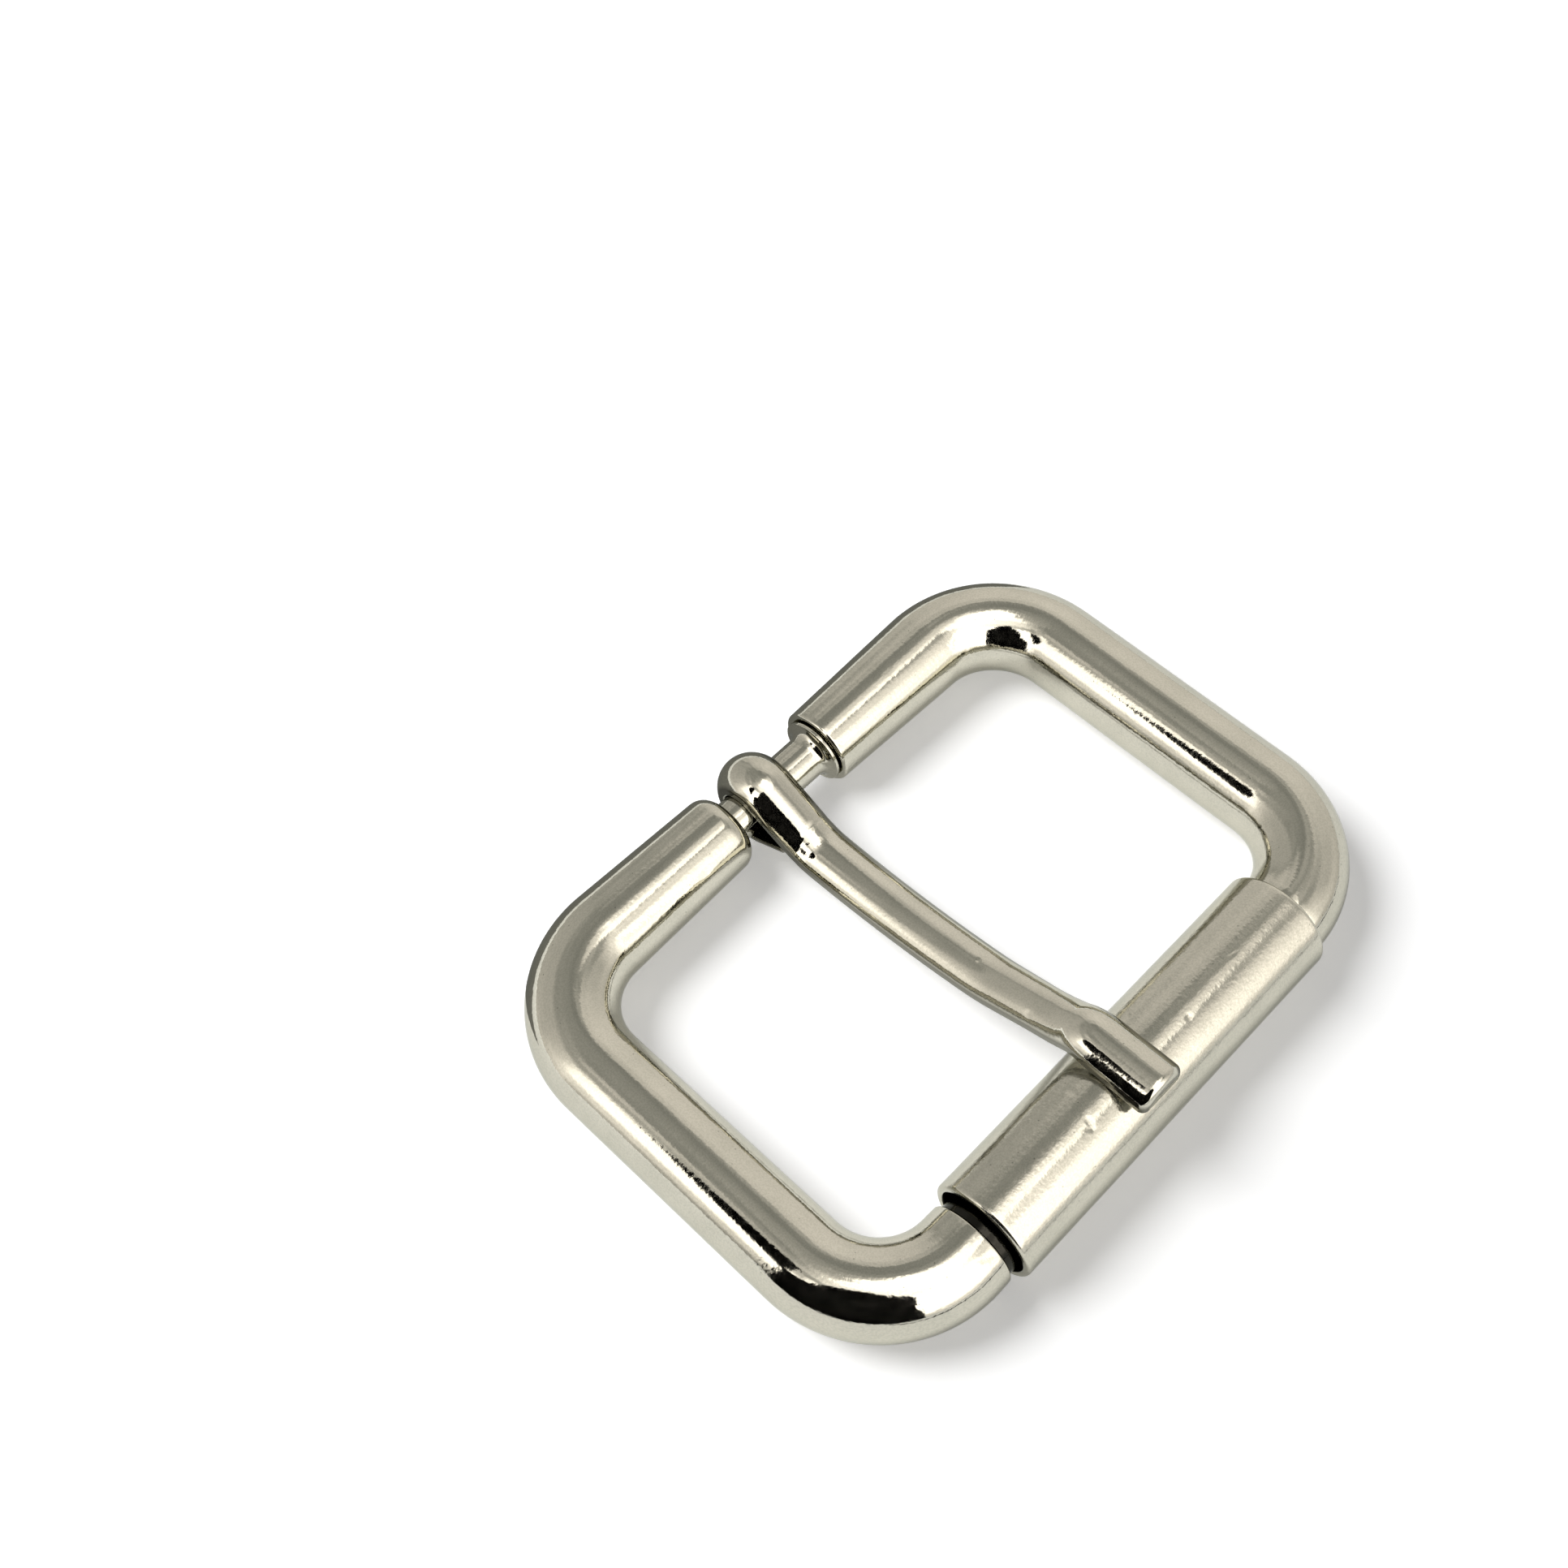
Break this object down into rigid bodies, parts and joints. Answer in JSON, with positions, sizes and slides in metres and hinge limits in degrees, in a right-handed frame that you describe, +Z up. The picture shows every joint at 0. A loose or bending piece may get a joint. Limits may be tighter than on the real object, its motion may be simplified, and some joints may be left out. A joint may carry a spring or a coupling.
{
  "type": "roller buckle",
  "caption": "Bent round-bar buckle frame with a thin hinge pin in its open side, a wrapped metal tongue on the pin and a loose tubular roller on the opposite side.",
  "frame": {"origin": "middle of the footprint of the lying buckle, on the surface that it lies on", "axes": "+X along the hinge and the roller, +Y from the roller towards the hinge, +Z up; the buckle lies as it rests by itself, about 0.45 degrees higher at the roller because the roller is thicker than the bar"},
  "size_m": [0.053, 0.0398, 0.0098],
  "materials": {
    "frame": "bright nickel plate",
    "hinge_pin": "bright nickel plate",
    "tongue": "bright nickel plate",
    "roller": "bright nickel plate, lightly worn"
  },
  "bodies": {
    "frame": {"frame": "frame", "hinge_pin": "hinge_pin"},
    "tongue": {"tongue": "tongue"},
    "roller": {"roller": "roller"}
  },
  "joints": [
    {"name": "tongue_swing", "type": "hinge", "parent": "frame", "child": "tongue", "pos_m": [-0.00105, 0.01643, 0.00325], "axis": [-1, 0, 0], "range_deg": [0, 174]},
    {"name": "roller_turn", "type": "hinge", "parent": "frame", "child": "roller", "pos_m": [0.00073, -0.01601, 0.00387], "axis": [1, 0, 0], "continuous": true}
  ]
}
